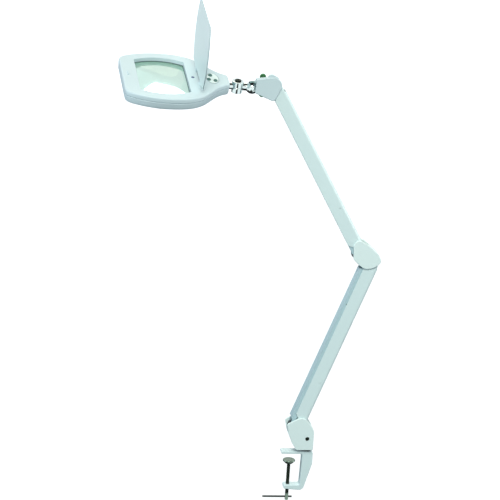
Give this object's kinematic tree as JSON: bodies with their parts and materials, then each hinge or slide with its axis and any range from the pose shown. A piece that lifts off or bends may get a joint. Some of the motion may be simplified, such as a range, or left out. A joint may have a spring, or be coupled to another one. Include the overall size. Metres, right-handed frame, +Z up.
{
  "type": "magnifying lamp",
  "caption": "Bench-clamp magnifying lamp: spring-balanced channel arms with parallel links, chrome swivel neck and a lit lens head with a hinged lid.",
  "frame": {"origin": "middle of the upper clamp jaw's underside, where it rests on the bench top", "axes": "+Z up, -X out over the bench from the clamp's spine, which is the way the lens head points; the arms lie in the plane y = 0"},
  "size_m": [0.5949, 0.2219, 1.1425],
  "materials": {
    "white_powder_coat": "satin powder coat",
    "white_abs": "fine moulded gloss",
    "chrome": "polished",
    "zinc_steel": "zinc plated",
    "blackened_steel": "oil blackened",
    "nylon": "matte",
    "die_cast": "as cast",
    "lens_glass": "polished, faint green",
    "diffuser": "frosted",
    "circuit_board": "white solder mask",
    "button_rubber": "matte",
    "grey_insert": "matte",
    "gasket": "matte"
  },
  "bodies": {
    "clamp": {"clamp_frame": "white_powder_coat", "post_bush": "nylon"},
    "pad": {"screw_pad": "zinc_steel"},
    "screw": {"clamp_screw": "blackened_steel"},
    "bar": {"t_bar": "blackened_steel"},
    "base": {"base_post": "die_cast", "base_cover_near": "white_abs", "base_cover_far": "white_abs", "base_cover_screw_near": "blackened_steel", "base_cover_screw_far": "blackened_steel", "lower_arm_pin": "zinc_steel", "lower_link_pin": "zinc_steel"},
    "lower_arm": {"lower_arm_channel": "white_powder_coat", "lower_spring_pin": "zinc_steel", "lower_spring": "zinc_steel"},
    "lower_bar": {"lower_link": "white_powder_coat", "lower_link_spring_pin": "zinc_steel"},
    "elbow": {"elbow_block": "die_cast", "elbow_cover_near": "white_abs", "elbow_cover_far": "white_abs", "elbow_cover_screw": "blackened_steel", "elbow_lower_arm_pin": "zinc_steel", "elbow_lower_link_pin": "zinc_steel", "elbow_upper_arm_pin": "zinc_steel", "elbow_upper_link_pin": "zinc_steel"},
    "upper_arm": {"upper_arm_channel": "white_powder_coat", "upper_spring_pin": "zinc_steel", "upper_spring": "zinc_steel"},
    "upper_bar": {"upper_link": "white_powder_coat", "upper_link_spring_pin": "zinc_steel"},
    "bracket": {"head_bracket_block": "die_cast", "bracket_cover_near": "white_abs", "bracket_cover_far": "white_abs", "bracket_cover_screw": "blackened_steel", "bracket_arm_pin": "zinc_steel", "bracket_link_pin": "zinc_steel"},
    "wing": {"wing_screw": "zinc_steel"},
    "stem": {"tongue_stem": "chrome", "ball_pin": "zinc_steel"},
    "knuckle": {"ball_knuckle": "chrome"},
    "head": {"neck_yoke": "chrome", "barrel_bolt": "chrome", "head_top_shell": "white_abs", "head_bottom_shell": "white_abs", "shell_screw_1": "zinc_steel", "shell_screw_2": "zinc_steel", "shell_screw_3": "zinc_steel", "shell_screw_4": "zinc_steel", "lens": "lens_glass", "lens_ring": "white_abs", "diffuser_ring": "diffuser", "led_board": "circuit_board", "button_pad": "grey_insert", "driver_board": "circuit_board", "lid_bumper": "gasket", "lid_hinge_pin": "zinc_steel"},
    "lid": {"lens_lid": "white_abs"},
    "power_cap": {"button_power": "button_rubber"},
    "brighter_cap": {"button_brighter": "button_rubber"},
    "dimmer_cap": {"button_dimmer": "button_rubber"}
  },
  "joints": [
    {"name": "base_swivel", "type": "hinge", "parent": "clamp", "child": "base", "pos_m": [0.034, 0, 0], "axis": [0, 0, 1], "continuous": true},
    {"name": "lower_arm_tilt", "type": "hinge", "parent": "base", "child": "lower_arm", "pos_m": [0.0115, 0, 0.071], "axis": [0, 1, 0], "range_deg": [-30, 39], "deforming": ["lower_spring"]},
    {"name": "lower_link_tilt", "type": "hinge", "parent": "base", "child": "lower_bar", "pos_m": [-0.0055, 0, 0.068], "axis": [0, 1, 0], "range_deg": [-30, 39]},
    {"name": "elbow_level", "type": "hinge", "parent": "lower_arm", "child": "elbow", "pos_m": [0.15616, 0, 0.45997], "axis": [0, 1, 0], "range_deg": [-39, 30]},
    {"name": "upper_arm_tilt", "type": "hinge", "parent": "elbow", "child": "upper_arm", "pos_m": [0.12066, 0, 0.48327], "axis": [0, 1, 0], "range_deg": [-65, 36], "deforming": ["upper_spring"]},
    {"name": "upper_link_tilt", "type": "hinge", "parent": "elbow", "child": "upper_bar", "pos_m": [0.11166, 0, 0.47177], "axis": [0, 1, 0], "range_deg": [-67.5, 38.5]},
    {"name": "bracket_level", "type": "hinge", "parent": "upper_arm", "child": "bracket", "pos_m": [-0.08621, 0, 0.84303], "axis": [0, 1, 0], "range_deg": [-38.5, 67.5]},
    {"name": "wing_turn", "type": "hinge", "parent": "bracket", "child": "wing", "pos_m": [-0.114, 0, 0.84], "axis": [0, 1, 0], "range_deg": [0, 360]},
    {"name": "head_roll", "type": "hinge", "parent": "bracket", "child": "stem", "pos_m": [-0.13992, 0, 0.84003], "axis": [1, 0, 0], "range_deg": [-105, 75]},
    {"name": "head_tilt", "type": "hinge", "parent": "stem", "child": "knuckle", "pos_m": [-0.13992, 0, 0.84003], "axis": [0, 0.9659, 0.2588], "range_deg": [-70, 44]},
    {"name": "head_swing", "type": "hinge", "parent": "knuckle", "child": "head", "pos_m": [-0.17187, -0.00043, 0.84165], "axis": [0.0523, -0.2585, 0.9646], "range_deg": [-60, 60]},
    {"name": "lid_hinge", "type": "hinge", "parent": "head", "child": "lid", "pos_m": [-0.25666, -0.01033, 0.86351], "axis": [-0.0453, 0.9643, 0.2608], "range_deg": [-89, 16]},
    {"name": "power_press", "type": "slide", "parent": "head", "child": "power_cap", "axis": [-0.0523, 0.2585, -0.9646], "range_m": [0, 0.001], "stiffness_N_per_m": 500, "springref_m": -0.0004},
    {"name": "brighter_press", "type": "slide", "parent": "head", "child": "brighter_cap", "axis": [-0.0523, 0.2585, -0.9646], "range_m": [0, 0.001], "stiffness_N_per_m": 500, "springref_m": -0.0004},
    {"name": "dimmer_press", "type": "slide", "parent": "head", "child": "dimmer_cap", "axis": [-0.0523, 0.2585, -0.9646], "range_m": [0, 0.001], "stiffness_N_per_m": 500, "springref_m": -0.0004},
    {"name": "screw_feed", "type": "slide", "parent": "clamp", "child": "pad", "axis": [0, 0, 1], "range_m": [-0.045, 0.015]},
    {"name": "screw_turn", "type": "hinge", "parent": "pad", "child": "screw", "pos_m": [-0.004, 0, 0], "axis": [0, 0, 1], "range_deg": [-12960, 4320]},
    {"name": "bar_slide", "type": "slide", "parent": "screw", "child": "bar", "axis": [1, 0, 0], "range_m": [-0.005, 0.049]}
  ],
  "couplings": [
    {"joint": "lower_link_tilt", "follows": "lower_arm_tilt", "ratio": 1},
    {"joint": "elbow_level", "follows": "lower_arm_tilt", "ratio": -1},
    {"joint": "upper_link_tilt", "follows": "upper_arm_tilt", "ratio": 1},
    {"joint": "bracket_level", "follows": "upper_arm_tilt", "ratio": -1},
    {"joint": "screw_feed", "follows": "screw_turn", "m_per_rad": 0.00019894}
  ]
}
